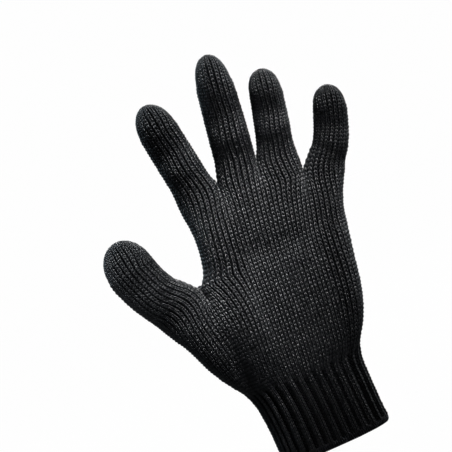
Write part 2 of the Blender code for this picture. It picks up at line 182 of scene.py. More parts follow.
# lines between the parts of the hand: course, x, z, depths to the front and back (0 if left out)
EDGES = {
    "outer": [
        (0, -46.3, 58.0, 0.0, 0.0), (5, -53.5, 69.0, 1.0, -1.0), (10, -58.8, 79.5, 2.0, -2.0),
        (15, -63.0, 90.0, 3.0, -3.0), (20, -67.3, 100.5, 4.0, -4.0), (25, -73.3, 110.5, 5.2, -5.2),
        (29, -78.2, 118.5, 6.0, -6.0),
    ],
    "thumb_split": [
        (0, -35.5, 58.0, 16.4, 17.6), (10, -35.8, 83.5, 22.4, 17.6), (20, -38.4, 109.4, 21.2, 14.6),
        (26, -41.0, 125.2, 11.8, 9.3), (29, -42.5, 131.7, 4.2, 3.6),
    ],
    "index_side": [
        (29, -42.0, 131.8), (31, -37.6, 137.2), (35, -33.9, 148.4), (40, -32.1, 160.6),
        (45, -32.0, 172.0), (51, -33.7, 186.0),
    ],
    "index_middle": [
        (0, -13.5, 58.0, 21.2, 24.2), (10, -12.5, 83.5, 21.6, 20.6), (20, -11.0, 110.5, 18.6, 17.8),
        (29, -10.0, 134.5, 16.6, 16.0), (40, -7.0, 162.5, 14.6, 14.2),
        (46, -5.0, 177.0, 10.5, 10.0), (51, -3.5, 189.5, 3.4, 3.4),
    ],
    "middle_ring": [
        (0, 8.5, 58.0, 21.4, 24.4), (10, 11.5, 83.5, 20.2, 20.6), (20, 14.0, 110.5, 17.2, 18.2),
        (29, 16.5, 134.5, 16.2, 16.4), (40, 21.0, 163.0, 14.6, 14.4), (46, 23.8, 179.0, 10.5, 10.2),
        (51, 26.0, 193.0, 3.4, 3.4),
    ],
    "ring_little": [
        (0, 30.0, 58.0, 18.2, 20.2), (10, 35.0, 83.5, 21.0, 18.0), (20, 38.5, 110.5, 19.4, 16.4),
        (29, 41.5, 134.5, 16.4, 15.0), (37, 46.5, 155.0, 13.6, 12.6), (42, 49.8, 168.0, 9.0, 8.6),
        (45, 51.6, 176.0, 3.4, 3.4),
    ],
    "ring_side": [(45, 51.8, 176.0), (51, 52.3, 188.4)],
    "little_side": [
        (0, 40.3, 58.0), (5, 48.0, 70.5), (10, 53.2, 83.0), (15, 56.6, 95.0), (20, 59.0, 108.0),
        (29, 64.3, 134.5), (35, 67.5, 147.0), (40, 71.8, 157.5), (45, 79.0, 169.5),
    ],
}

# the middle of each part of the hand: course, depth to the front, depth to the back
LOBES = {
    "thumb": [(0, 13.5, 13.5), (10, 19.8, 14.0), (20, 21.6, 11.4), (29, 19.0, 9.5)],
    "index": [
        (0, 20.4, 22.4), (8, 24.0, 20.4), (15, 26.0, 18.4), (22, 23.2, 17.0), (26, 20.6, 16.4),
        (30, 16.8, 16.0), (35, 16.8, 15.6), (42, 15.4, 15.0), (51, 11.2, 12.2),
    ],
    "middle": [
        (0, 21.4, 24.4), (8, 20.8, 22.0), (15, 19.8, 20.0), (22, 18.6, 18.2), (26, 17.6, 17.4),
        (30, 15.2, 17.0), (35, 16.6, 16.4), (42, 15.8, 15.6), (51, 11.4, 12.8),
    ],
    "ring": [
        (0, 20.6, 23.2), (8, 21.0, 20.6), (15, 20.8, 18.4), (22, 19.6, 17.2), (26, 18.6, 16.8),
        (30, 15.8, 16.4), (35, 16.6, 15.8), (42, 15.2, 14.8), (51, 11.0, 12.0),
    ],
    "little": [
        (0, 15.6, 16.8), (8, 19.4, 16.0), (15, 20.8, 15.2), (22, 19.8, 14.8), (27, 18.2, 14.5),
        (31, 15.8, 14.2), (36, 15.4, 13.6), (41, 13.0, 12.6), (45, 10.8, 11.2),
    ],
}

# each tube: its middle line from root to tip (x, y, z), then by distance from the root its half
# width, its half depth and how far its front bulges, the length of its round end, and its root
TUBES = {
    "index": {
        "line": [(-18.9, 0, 187.8), (-21.9, -1.5, 210.0), (-25.3, -5.2, 235.0), (-28.1, -11.0, 258.4)],
        "width": [(0, 14.3), (9, 12.8), (20, 12.6), (48, 12.4), (72, 11.8)],
        "depth": [(0, 12.4), (12, 11.8), (40, 11.2), (72, 10.6)],
        "pads": [(0, -0.4), (7, -1.4), (24, 1.6), (38, -0.6), (49, 0.6), (73, 0)],
        "round": 17.5, "root": ((-33.7, 186.0), (-3.7, 189.5)),
    },
    "middle": {
        "line": [(11.5, 0, 191.2), (15.3, -1.6, 213.6), (19.5, -6.2, 242.5), (23.5, -13.0, 272.8)],
        "width": [(0, 14.2), (9, 12.8), (22, 12.5), (50, 11.9), (60, 11.5), (69, 10.8), (83, 10.8)],
        "depth": [(0, 12.8), (12, 12.0), (50, 11.2), (83, 10.6)],
        "pads": [(0, -0.4), (8, -1.5), (27, 1.7), (43, -0.7), (56, 0.6), (83, 0)],
        "round": 19.0, "root": ((-3.3, 189.5), (25.8, 193.0)),
    },
    "ring": {
        "line": [(39.3, 0, 190.6), (44.6, -1.4, 209.8), (49.8, -4.6, 231.6), (52.8, -9.6, 249.9)],
        "width": [(0, 12.1), (9, 11.2), (20, 10.8), (33, 10.4), (45, 10.0), (63, 10.1)],
        "depth": [(0, 12.2), (12, 11.0), (40, 10.2), (63, 9.8)],
        "pads": [(0, -0.4), (7, -1.3), (22, 1.5), (34, -0.5), (44, 0.5), (63, 0)],
        "round": 14.5, "root": ((26.2, 193.0), (52.3, 188.4)),
    },
    "little": {
        "line": [(65.6, 0, 172.6), (76.5, -1.2, 186.3), (84.2, -3.6, 203.8), (89.0, -8.0, 222.6)],
        "width": [(0, 13.3), (8, 11.5), (18, 10.9), (34, 10.4), (56, 9.8)],
        "depth": [(0, 11.4), (10, 10.2), (34, 9.5), (56, 9.2)],
        "pads": [(0, -0.3), (7, -0.9), (19, 1.1), (29, -0.4), (39, 0.4), (56, 0)],
        "round": 13.5, "root": ((51.9, 176.0), (79.0, 169.5)),
    },
    "thumb": {
        "line": [(-60.4, -5.5, 125.1), (-70.9, -11.0, 138.9), (-78.9, -16.5, 157.8), (-83.0, -20.5, 182.7)],
        "width": [(0, 19.0), (9, 15.9), (20, 15.4), (42, 15.7), (66, 15.7)],
        "depth": [(0, 14.8), (10, 14.2), (42, 13.2), (66, 12.8)],
        "pads": [(0, 0), (12, -0.4), (24, 0.3), (36, -0.7), (47, 0.3), (66, 0)],
        "round": 20.0, "root": ((-78.2, 118.5), (-42.7, 131.7)),
    },
}
SETTLE = 12.0  # a tube turns square to its own line over this distance from its root

# the cuff: z, half width, half depth, middle x, middle y
CUFF = [
    (0.0, 38.0, 24.0, -0.9, 0.9), (8.0, 37.4, 23.6, -1.0, 1.0),
    (35.0, 37.6, 22.8, -1.4, 1.3), (44.0, 38.2, 22.7, -1.9, 1.5),
    (50.0, 39.4, 22.7, -2.3, 1.5), (58.0, 43.3, 22.9, -3.0, 1.5),
]

# the stretches over which each tube bends, by distance from its root
BENDS = {
    "index": [(0.0, 16.0), (18.5, 38.5), (42.0, 58.0)],
    "middle": [(0.0, 17.0), (22.0, 43.5), (49.5, 66.5)],
    "ring": [(0.0, 15.6), (17.5, 37.0), (39.5, 53.7)],
    "little": [(0.0, 14.6), (15.6, 31.2), (32.6, 45.8)],
    "thumb": [(0.0, 16.5), (22.0, 43.0)],
}
WRIST_BEND = (43.0, 81.0)

SURROUND = 0.015  # the light from all round

# the lamps: name, place, aim, size, power, spread, colour
LAMPS = [
    ("key_lamp", (0.250, -0.359, 0.600), (0.002, -0.02, 0.158), 0.12, 0.086, 15.5, (1.0, 1.0, 1.0)),
    ("top_lamp", (0.20, -0.20, 0.69), (-0.02, -0.01, 0.265), 0.10, 0.050, 28.0, (0.88, 0.96, 1.0)),
    ("thumb_lamp", (-0.24, -0.42, 0.38), (-0.092, -0.02, 0.160), 0.06, 0.006, 8.0, (0.92, 0.97, 1.0)),
    ("left_lamp", (-0.9, 0.45, 0.75), (0.0, 0.0, 0.16), 0.5, 3.5, 180.0, (0.66, 0.86, 1.0)),
    ("right_lamp", (1.2, 0.55, 0.5), (0.0, 0.0, 0.16), 0.5, 4.5, 180.0, (0.90, 0.96, 1.0)),
    ("back_lamp", (0.25, 1.1, 0.9), (0.0, 0.0, 0.16), 0.4, 9.0, 180.0, (1.0, 1.0, 1.0)),
]


def smooth(x):
    """From 0 to 1 with level ends."""
    x = np.clip(x, 0.0, 1.0)
    return x * x * (3 - 2 * x)


def table(rows, at):
    """Smooth values between a table's rows: the first column is where, the rest are values."""
    rows = np.array(rows, float)
    x, y = rows[:, 0], rows[:, 1:]
    slope = np.gradient(y, x, axis=0) if len(x) > 2 else np.diff(y, axis=0)[[0, 0]] / (x[1] - x[0])
    i = int(np.clip(np.searchsorted(x, at) - 1, 0, len(x) - 2))
    h = x[i + 1] - x[i]
    t = float(np.clip((at - x[i]) / h, 0.0, 1.0))
    a, b = 2 * t**3 - 3 * t**2 + 1, t**3 - 2 * t**2 + t
    c, d = 1 - a, t**3 - t**2
    return a * y[i] + b * h * slope[i] + c * y[i + 1] + d * h * slope[i + 1]


def unit(v):
    """Vectors of length 1."""
    return v / np.maximum(np.linalg.norm(v, axis=-1, keepdims=True), 1e-9)


def squarer(x, power=2 / SQUARE):
    """A sine or cosine changed so that an ellipse made with it turns squarer."""
    return np.sign(x) * np.abs(x) ** power


def distances(points):
    """How far along a line of points each of them lies."""
    return np.concatenate([[0.0], np.cumsum(np.linalg.norm(np.diff(points, axis=0), axis=1))])


def points_at(at, along, points):
    """Points at some distances along a line, from the distances of its own points."""
    return np.stack([np.interp(at, along, column) for column in points.T], -1)


def even(points, n):
    """n + 1 points evenly spaced along a line of points."""
    along = distances(points)
    return points_at(np.linspace(0.0, along[-1], n + 1), along, points)


def arc(row, lobe, left, right, side, n):
    """One part of the hand across the front (side 0) or the back (side 1) of a course."""
    xl, zl, *dl = *table(EDGES[left], row), 0.0, 0.0
    xr, zr, *dr = *table(EDGES[right], row), 0.0, 0.0
    deep = table(LOBES[lobe], row)[side]
    turn = np.linspace(0.0, math.pi, 81)
    share = (1 - squarer(np.cos(turn))) / 2
    groove = np.clip(1.4 * (1 - np.array([dl[side], dr[side]]) / deep), 0.0, 1.0)
    power = 2.0 + (2 / SQUARE - 2.0) * np.where(share < 0.5, groove[0], groove[1])
    bulge = np.clip(np.sin(turn), 0.0, 1.0) ** power
    base = dl[side] + (dr[side] - dl[side]) * share
    depth = base + (deep - base) * bulge
    y = -depth if side == 0 else depth
    return even(np.stack([xl + (xr - xl) * share, y, zl + (zr - zl) * share], 1), n)


def closed_course(row, lobes):
    """A whole course round the hand: the front from left to right, then the back."""
    front = [arc(row, *lobe, 0, n)[:-1] for *lobe, n in lobes]
    back = [arc(row, *lobe, 1, n)[::-1][:-1] for *lobe, n in lobes[::-1]]
    return np.concatenate(front + back)


# the parts of a course from left to right, with the wales of each
FIVE = [
    ("thumb", "outer", "thumb_split", 13),
    ("index", "thumb_split", "index_middle", 9),
    ("middle", "index_middle", "middle_ring", 9),
    ("ring", "middle_ring", "ring_little", 9),
    ("little", "ring_little", "little_side", 10),
]
FOUR = [("index", "index_side", "index_middle", 10)] + FIVE[2:]
THREE = FOUR[:2] + [("ring", "middle_ring", "ring_side", 10)]


def fork(course, parts):
    """The wales, in front and behind, where the first parts of a course end."""
    wales = [n for *_, n in course]
    return sum(wales[:parts]), 2 * sum(wales) - sum(wales[:parts])


THUMB_FORK, LITTLE_FORK = fork(FIVE, 1), fork(FOUR, 3)
INDEX_FORK, RING_FORK = fork(THREE, 1), fork(THREE, 2)
RIGHT_SIDE = fork(THREE, 3)[0]
FORK_WALE = 11  # the wale of the index and middle fingers that starts at the crotch to their right

# how the first course of each tube is made up: wales of the tube below it, and crotches by name
ROOTS = {
    "four": ["neck", ("trunk", THUMB_FORK[0], THUMB_FORK[1] + 1)],
    "three": [("four", 0, LITTLE_FORK[0] + 1), "side", ("four", LITTLE_FORK[1], None)],
    "index": [("three", 0, INDEX_FORK[0] + 1), "low", ("three", INDEX_FORK[1], None)],
    "middle": [
        "low",
        ("three", INDEX_FORK[0], RING_FORK[0] + 1),
        "high",
        ("three", RING_FORK[1], INDEX_FORK[1] + 1),
    ],
    "ring": ["high", ("three", RING_FORK[0], RING_FORK[1] + 1)],
    "little": ["side", ("four", LITTLE_FORK[0], LITTLE_FORK[1] + 1)],
    "thumb": [("trunk", 0, THUMB_FORK[0] + 1), "neck", ("trunk", THUMB_FORK[1], None)],
}
PARENTS = {tube: next(p[0] for p in run if not isinstance(p, str)) for tube, run in ROOTS.items()}


def first_course(tube, ends, crotches):
    """A tube's first course, from the last courses of the tubes below and the crotches."""
    parts = []
    for part in ROOTS[tube]:
        parts.append(crotches[part] if isinstance(part, str) else ends[part[0]][part[1] : part[2]])
    return np.concatenate(parts)


def shut(ring):
    """A ring of points with its first point again at its end."""
    return np.concatenate([ring, ring[:1]])


def cuff_ring(z, n, inset=0.0):
    """A ring of n points round the cuff."""
    half, deep, middle, back = table(CUFF, z)
    turn = np.linspace(0.0, 2 * math.pi, 721)
    x = middle - squarer(np.cos(turn)) * (half - inset)
    y = back - squarer(np.sin(turn)) * (deep - inset)
    return even(np.stack([x, y, np.full_like(x, z)], 1), n)[:-1]


def like_course(course, z):
    """A ring of the cuff at height z whose points keep their places round a course of the hand."""
    fine = 720
    along = distances(shut(course))
    ring = shut(cuff_ring(z, fine))
    return points_at(along[:-1] / along[-1] * fine, np.arange(fine + 1), ring)


LINES = {}


def line_of(tube):
    """A tube's middle line as many points, with the distance along it."""
    if tube not in LINES:
        control = [(k, *p) for k, p in enumerate(TUBES[tube]["line"])]
        points = np.array([table(control, t) for t in np.linspace(0, len(control) - 1, 121)])
        LINES[tube] = points, distances(points)
    return LINES[tube]


def frame_at(tube, s):
    """The middle of a tube at distance s from its root, the way it runs, and the way across it."""
    points, along = line_of(tube)
    centre, ahead, behind = points_at(s + np.array([0.0, 1.5, -1.5]), along, points)
    run = unit(ahead - behind)
    return centre, run, unit(np.array([run[2], 0.0, -run[0]]))


def tube_ring(tube, s, n):
    """A ring of n points round a tube at distance s from its root."""
    shape = TUBES[tube]
    centre, run, across = frame_at(tube, s)
    (xl, zl), (xr, zr) = shape["root"]
    w = smooth(s / SETTLE)
    across = unit(unit(np.array([xr - xl, 0.0, zr - zl])) * (1 - w) + across * w)
    up = run * w + np.cross([0.0, -1.0, 0.0], across) * (1 - w)
    forward = unit(np.cross(across, up))
    turn = np.linspace(0.0, 2 * math.pi, 361)
    x = -squarer(np.cos(turn)) * table(shape["width"], s)[0]
    y = squarer(np.sin(turn)) * table(shape["depth"], s)[0]
    y += np.clip(np.sin(turn), 0.0, 1.0) * table(shape["pads"], s)[0]
    return even(centre + x[:, None] * across + y[:, None] * forward, n)[:-1]


def fingertip(tube, start, n):
    """The courses over a fingertip, which close it like a pocket along a line from side to side."""
    shape = TUBES[tube]
    length = line_of(tube)[1][-1]
    centre, run, across = frame_at(tube, start)
    forward = unit(np.cross(across, run))
    half, deep = table(shape["width"], start)[0], table(shape["depth"], start)[0]
    ring = tube_ring(tube, start, n) - centre
    flat = np.stack([ring @ across / half, ring @ forward / deep, np.zeros(n)], 1)
    corner = np.linalg.norm(flat, axis=1)
    first = flat / corner[:, None]
    wale = np.arange(n)
    wale = np.minimum(wale, n - wale)
    turn = math.pi - POCKET - (math.pi - 2 * POCKET) * wale / (n / 2)
    last = np.stack([np.cos(turn), np.zeros(n), np.sin(turn)], 1)
    angle = np.arccos(np.clip((first * last).sum(1), -1.0, 1.0))[:, None]
    over = length - start
    count = round(math.pi / 2 * math.sqrt((deep**2 + over**2) / 2) / COURSE)
    rings = []
    for k in range(1, count + 1):
        q = k / count
        at = (np.sin((1 - q) * angle) * first + np.sin(q * angle) * last) / np.sin(angle)
        at[:, :2] *= (1 + (corner - 1) * (1 - q))[:, None]
        points = []
        for px, py, pz in at:
            middle, _, side = frame_at(tube, start + over * pz)
            wide, thick = (table(shape[k], start + over * pz)[0] for k in ("width", "depth"))
            points.append(middle + px * wide * side + py * thick * forward)
        rings.append(np.array(points))
    return rings


class Knit:
    """A knitted tube: a grid of points on wales and courses, with what stands round it."""

    def __init__(self, lines, closed=False):
        self.plain = np.array(lines)
        self.courses, self.wales = len(lines) - 1, len(lines[0])
        self.closed = closed
        self.rib = np.zeros(self.courses + 1)

    def settle(self):
        """Works out the surface's directions, once the grid is final."""
        g = self.plain
        low = [2 * g[0] - g[1], 3 * g[0] - 2 * g[1]]
        if self.closed:
            over = (self.wales - np.arange(self.wales)) % self.wales
            high = [g[-2][over], g[-3][over]]
        else:
            high = [2 * g[-1] - g[-2], 3 * g[-1] - 2 * g[-2]]
        self.grid = np.concatenate([[low[1], low[0]], g, high])
        du = (np.roll(self.grid, -1, 1) - np.roll(self.grid, 1, 1)) / 2
        dv = np.gradient(self.grid, axis=0)
        out = np.cross(du, dv)
        if self.closed:
            out += unit(self.grid - self.grid.mean(1, keepdims=True)) * 0.05
        self.out = unit(out)
        self.wide = np.linalg.norm(du, axis=-1, keepdims=True)
        self.high = np.linalg.norm(dv, axis=-1, keepdims=True)
        self.ribbed = np.concatenate([self.rib[[0, 0]], self.rib, self.rib[[-1, -1]]])
        return self

    def at(self, u, v):
        """Points, outward directions, stitch widths and heights, and how ribbed the knit is."""
        grids = (self.grid, self.out, self.wide, self.high)
        points, out, wide, high = (sample(grid, u, v) for grid in grids)
        ribbed = np.interp(v, np.arange(-2, self.courses + 3), self.ribbed)
        return points, unit(out), wide[..., 0], high[..., 0], ribbed


def weights(t):
    """Catmull-Rom weights of the four values round t."""
    t2, t3 = t * t, t**3
    return (t2 - (t + t3) / 2, 1 - 2.5 * t2 + 1.5 * t3, (t + 4 * t2 - 3 * t3) / 2, (t3 - t2) / 2)


def sample(values, u, v):
    """A padded grid's values at wale u and course v."""
    rows, wales = values.shape[:2]
    v = v + 2
    i = np.clip(np.floor(v).astype(int), 1, rows - 3)
    j = np.floor(u).astype(int)
    wv, wu = weights(v - i), weights(u - j)
    found = 0.0
    for a in range(4):
        for b in range(4):
            found = found + (wv[a] * wu[b])[..., None] * values[i - 1 + a, (j - 1 + b) % wales]
    return found


def smooth_noise(rng, shape, reach):
    """Noise that runs on smoothly along a closed row."""
    raw = rng.standard_normal(shape)
    span = range(-3 * reach, 3 * reach + 1)
    w = np.exp(-0.5 * (np.array(span) / reach) ** 2)
    wide = sum(a * np.roll(raw, k, 1) for k, a in zip(span, w))
    return wide / np.sqrt((w**2).sum())


def rib_wave(u, wales):
    """How far out the ribs stand at wale u: 1 on a rib, -1 between two."""
    return np.cos(2 * math.pi * RIBS * (u - 1.0) / wales)


def tiles(spans, rows, wales):
    """Quads over rows of points that close to rings, with the row and the place of each corner."""
    i, k = np.indices((spans, wales))
    row = np.stack([i, i, i + 1, i + 1], -1)
    place = np.stack([k, k + 1, k + 1, k], -1)
    return (row % rows * wales + place % wales).reshape(-1, 4), row, place


def flat_pairs(a, b):
    """Two grids of values as one long list of pairs."""
    return np.stack(np.broadcast_arrays(a, b), -1).reshape(-1, 2)


def yarns(knit, first, last, seed):
    """Courses first to last of a knit as yarn: vertices, quads, places on knit and texture sheet."""
    rng = np.random.default_rng(seed)
    count = last - first
    turns = knit.wales * STEPS
    t = np.arange(turns) * 2 * math.pi / STEPS
    row = np.arange(first, last)[:, None]
    swing = SWING * (1 + 0.06 * smooth_noise(rng, (count, turns), 6))
    reach = REACH * (1 + 0.04 * smooth_noise(rng, (count, turns), 6))
    u = t / (2 * math.pi) + swing * np.sin(2 * t) + CLOSE * np.sin(t)
    v = row + 0.5 + reach * np.cos(t)
    points, out, wide, high, ribbed = knit.at(u, v)
    scale = np.clip(np.minimum(wide / WALE, high / HIGH), *DRAWN)
    sunk = rib_wave(np.arange(turns) // STEPS + 0.5, knit.wales) < -0.3
    purl = np.where(sunk, 1 - 2 * ribbed, 1.0)
    lift = -LEG * np.cos(2 * t) * purl * scale
    lift = lift + RIB * ribbed * rib_wave(u, knit.wales)
    lift = lift + 0.07 * smooth_noise(rng, (count, turns), 5)
    points = points + out * lift[..., None]
    along = unit(np.roll(points, -1, 1) - np.roll(points, 1, 1))
    side = unit(np.cross(along, out))
    up = np.cross(side, along)
    turn = np.arange(SIDES) * 2 * math.pi / SIDES
    twist = t[None, :, None] + rng.uniform(0, 6.28, (count, 1, 1))
    ply = 1 + 0.08 * np.cos(2 * (turn[None, None] - twist))
    r = YARN * scale * (1.04 - 0.14 * np.cos(2 * t) + 0.03 * smooth_noise(rng, (count, turns), 4))
    r = (r[..., None] * ply)[..., None]
    ring = up[:, :, None] * np.cos(turn)[:, None] + side[:, :, None] * np.sin(turn)[:, None]
    verts = points[:, :, None] + ring * r
    quads, along_it, round_it = tiles(turns, turns, SIDES)
    quads = (quads + np.arange(count)[:, None, None] * turns * SIDES).reshape(-1, 4)
    mu, ku = along_it / STEPS, round_it / SIDES
    i = np.arange(count)[:, None, None, None]
    own = flat_pairs(mu, i + first + ku)
    sheet = flat_pairs(mu / knit.wales, (i + 0.04 + 0.92 * ku) / (count + LINING_STRIPS))
    return verts.reshape(-1, 3), quads, own, sheet


def lining(knit, first, last):
    """The knit's inner face behind the yarn, from course first to last."""
    fine, count = 3, last - first
    rows = np.linspace(first, last, count * 2 + 1)
    v, u = np.meshgrid(rows, np.arange(knit.wales * fine) / fine, indexing="ij")
    points, out, wide, _, ribbed = knit.at(u, v)
    scale = np.clip(wide / WALE, 0.6, 1.0)
    depth = LINING * scale - RIB * 0.8 * ribbed * rib_wave(u, knit.wales)
    verts = points - out * depth[..., None]
    quads, down, round_it = tiles(count * 2, count * 2 + 1, knit.wales * fine)
    mu, iu = round_it / fine, down / 2
    strip = (count + 0.1 + 2.8 * iu / count) / (count + LINING_STRIPS)
    own, sheet = flat_pairs(mu, iu + first), flat_pairs(mu / knit.wales, strip)
    return verts.reshape(-1, 3), quads, own, sheet


def new_object(name, data):
    """An object in the scene."""
    ob = bpy.data.objects.new(name, data)
    bpy.context.scene.collection.objects.link(ob)
    return ob


def joined(parts):
    """Several parts, each of vertices, quads and two sets of places, as one."""
    verts, quads, own, sheet = zip(*parts)
    bases = np.cumsum([0] + [len(v) for v in verts[:-1]])
    quads = [q + base for q, base in zip(quads, bases)]
    return [np.concatenate(each) for each in (verts, quads, own, sheet)]


def mesh_object(name, parts, mats):
    """A smooth mesh object of quads from several parts, each with its own material."""
    verts, quads, own, sheet = joined(parts)
    which = np.repeat(np.arange(len(parts)), [len(part[1]) for part in parts])
    mesh = bpy.data.meshes.new(name)
    mesh.vertices.add(len(verts))
    mesh.vertices.foreach_set("co", ((verts + SHIFT) * MM).astype(np.float32).ravel())
    mesh.loops.add(quads.size)
    mesh.loops.foreach_set("vertex_index", quads.astype(np.int32).ravel())
    mesh.polygons.add(len(quads))
    mesh.polygons.foreach_set("loop_start", np.arange(0, quads.size, 4, dtype=np.int32))
    mesh.polygons.foreach_set("use_smooth", np.ones(len(quads), bool))
    mesh.polygons.foreach_set("material_index", which.astype(np.int32))
    for title, uv in (("stitches", own), ("OFBake", sheet)):
        layer = mesh.uv_layers.new(name=title)
        layer.data.foreach_set("uv", uv.astype(np.float32).ravel())
    for mat in mats:
        mesh.materials.append(mat)
    mesh.update(calc_edges=True)
    mesh.validate()
    return new_object(name, mesh)


def in_metres(point):
    """A point of the tables in the glove's own frame, in metres."""
    return tuple((np.array(point) + SHIFT) * MM)


def meet(grid, parent, fade=5):
    """Moves a tube's first courses so that the first one lies on the knit it grows from."""
    gap = parent - grid[0]
    for k in range(fade):
        grid[k] = grid[k] + gap * (1 - smooth(k / fade))
    return grid


def even_out(grid, sparing, width=1.2, spared=(4.5, 2.6)):
    """Softens the grid's depth across the wales, but not near the places where tubes part."""
    rows, wales = grid.shape[:2]
    r, c = np.indices((rows, wales))
    share = np.ones((rows, wales))
    for row, wale in sparing:
        off = (c - wale + wales / 2) % wales - wales / 2
        share *= 1 - np.exp(-(((r - row) / spared[0]) ** 2) - (off / spared[1]) ** 2)
    span = range(-4, 5)
    w = np.exp(-0.5 * (np.array(span) / width) ** 2)
    soft = sum(a * np.roll(grid, k, 1) for k, a in zip(span, w)) / w.sum()
    grid[..., 1] += (soft - grid)[..., 1] * share
    return grid


def softened(path, span, width):
    """Points averaged with up to span neighbours on either side along the first axis."""
    w = np.exp(-0.5 * (np.arange(-span, span + 1) / width) ** 2)
    padded = np.concatenate([path[:1]] * span + [path] + [path[-1:]] * span)
    return sum(a * padded[k : k + len(path)] for k, a in enumerate(w)) / w.sum()


def even_rows(grid, low, high, width=1.6):
    """Softens the grid along its wales between two courses."""
    rows = np.arange(len(grid))
    share = np.exp(-(((rows - (low + high) / 2) / ((high - low) / 2)) ** 4))[:, None, None]
    return grid + (softened(grid, 4, width) - grid) * share


def bend_wales(where, marks, tube, reach, width):
    """Lets the wales of a tube curve into the knit it grows from, over some courses."""
    rows, wales = marks[tube].shape
    span = 9
    lines = []
    for wale in range(wales):
        line, parent, whole = list(marks[tube][::-1, wale]), PARENTS.get(tube), True
        while parent:
            hit = np.flatnonzero(marks[parent][-1] == line[-1])
            if not len(hit):
                whole = len(line) > rows
                break
            line += list(marks[parent][-2::-1, hit[0]])
            parent = PARENTS.get(parent)
        lines.append((line, whole))
    ends = [k for k, (_, whole) in enumerate(lines) if not whole]
    new = where.copy()
    for wale, (line, _) in enumerate(lines):
        off = min([min((wale - k) % wales, (k - wale) % wales) for k in ends] or [span])
        path = where[line]
        share = np.exp(-(((np.arange(len(path)) - rows + 1) / reach) ** 4))
        share *= 1 - math.exp(-((off / 2.0) ** 2))
        new[line] += (softened(path, span, width) - path) * share[:, None]
    return new


def relax(knits, centres, rounds=14, pull_in=0.6, push_out=-0.62):
    """Lets the knit run smoothly round the places where tubes part: centres are (point, radius)."""
    marks, count = {}, 0
    for name, knit in knits.items():
        rows, wales = knit.plain.shape[:2]
        marks[name] = np.arange(count, count + rows * wales).reshape(rows, wales)
        count += rows * wales
    crotches = {
        "neck": marks["four"][0][:1],
        "side": marks["three"][0][RIGHT_SIDE : RIGHT_SIDE + 1],
        "low": marks["index"][0][FORK_WALE : FORK_WALE + 1],
        "high": marks["middle"][0][FORK_WALE : FORK_WALE + 1],
    }
    ends = {name: mark[-1] for name, mark in marks.items()}
    for name in ROOTS:
        marks[name][0] = first_course(name, ends, crotches)
    where = np.zeros((count, 3))
    for name, knit in knits.items():
        where[marks[name]] = knit.plain
    for tube in TUBES:
        reach, width = (8.0, 3.6) if tube == "thumb" else (6.0, 2.6)
        where = bend_wales(where, marks, tube, reach, width)
    pairs = []
    for mark in marks.values():
        pairs += [flat_pairs(mark, np.roll(mark, -1, 1)), flat_pairs(mark[:-1], mark[1:])]
    pairs = np.unique(np.sort(np.concatenate(pairs), 1), axis=0)
    pairs = pairs[pairs[:, 0] != pairs[:, 1]]
    a, b = pairs.T
    held = np.maximum(np.bincount(pairs.ravel(), minlength=count), 1)
    share = np.zeros(count)
    for point, radius in centres:
        off = np.linalg.norm(where - point, axis=1) / radius
        share = np.maximum(share, np.exp(-(off**2)))
    for k in range(rounds * 2):
        total = np.zeros_like(where)
        np.add.at(total, a, where[b])
        np.add.at(total, b, where[a])
        pull = total / held[:, None] - where
        where = where + pull * (share * (pull_in if k % 2 == 0 else push_out))[:, None]
    for name, knit in knits.items():
        knit.plain = where[marks[name]]


# the crotches, at the thumb, the little finger and the middle finger's two sides: how far each lies
# below the wales beside it, and how far round it the knit is let run smoothly
CROTCHES = {"neck": (4.8, 24.0), "side": (3.0, 10.0), "low": (3.4, 9.0), "high": (2.4, 9.0)}
THUMB_SIDE_REACH = 20.0  # the same at the outer side of the thumb's root


def crotch(name, course, wales):
    """A crotch's place, below the middle of two wales of a course."""
    return course[list(wales)].mean(0, keepdims=True) - [0.0, 0.0, CROTCHES[name][0]]


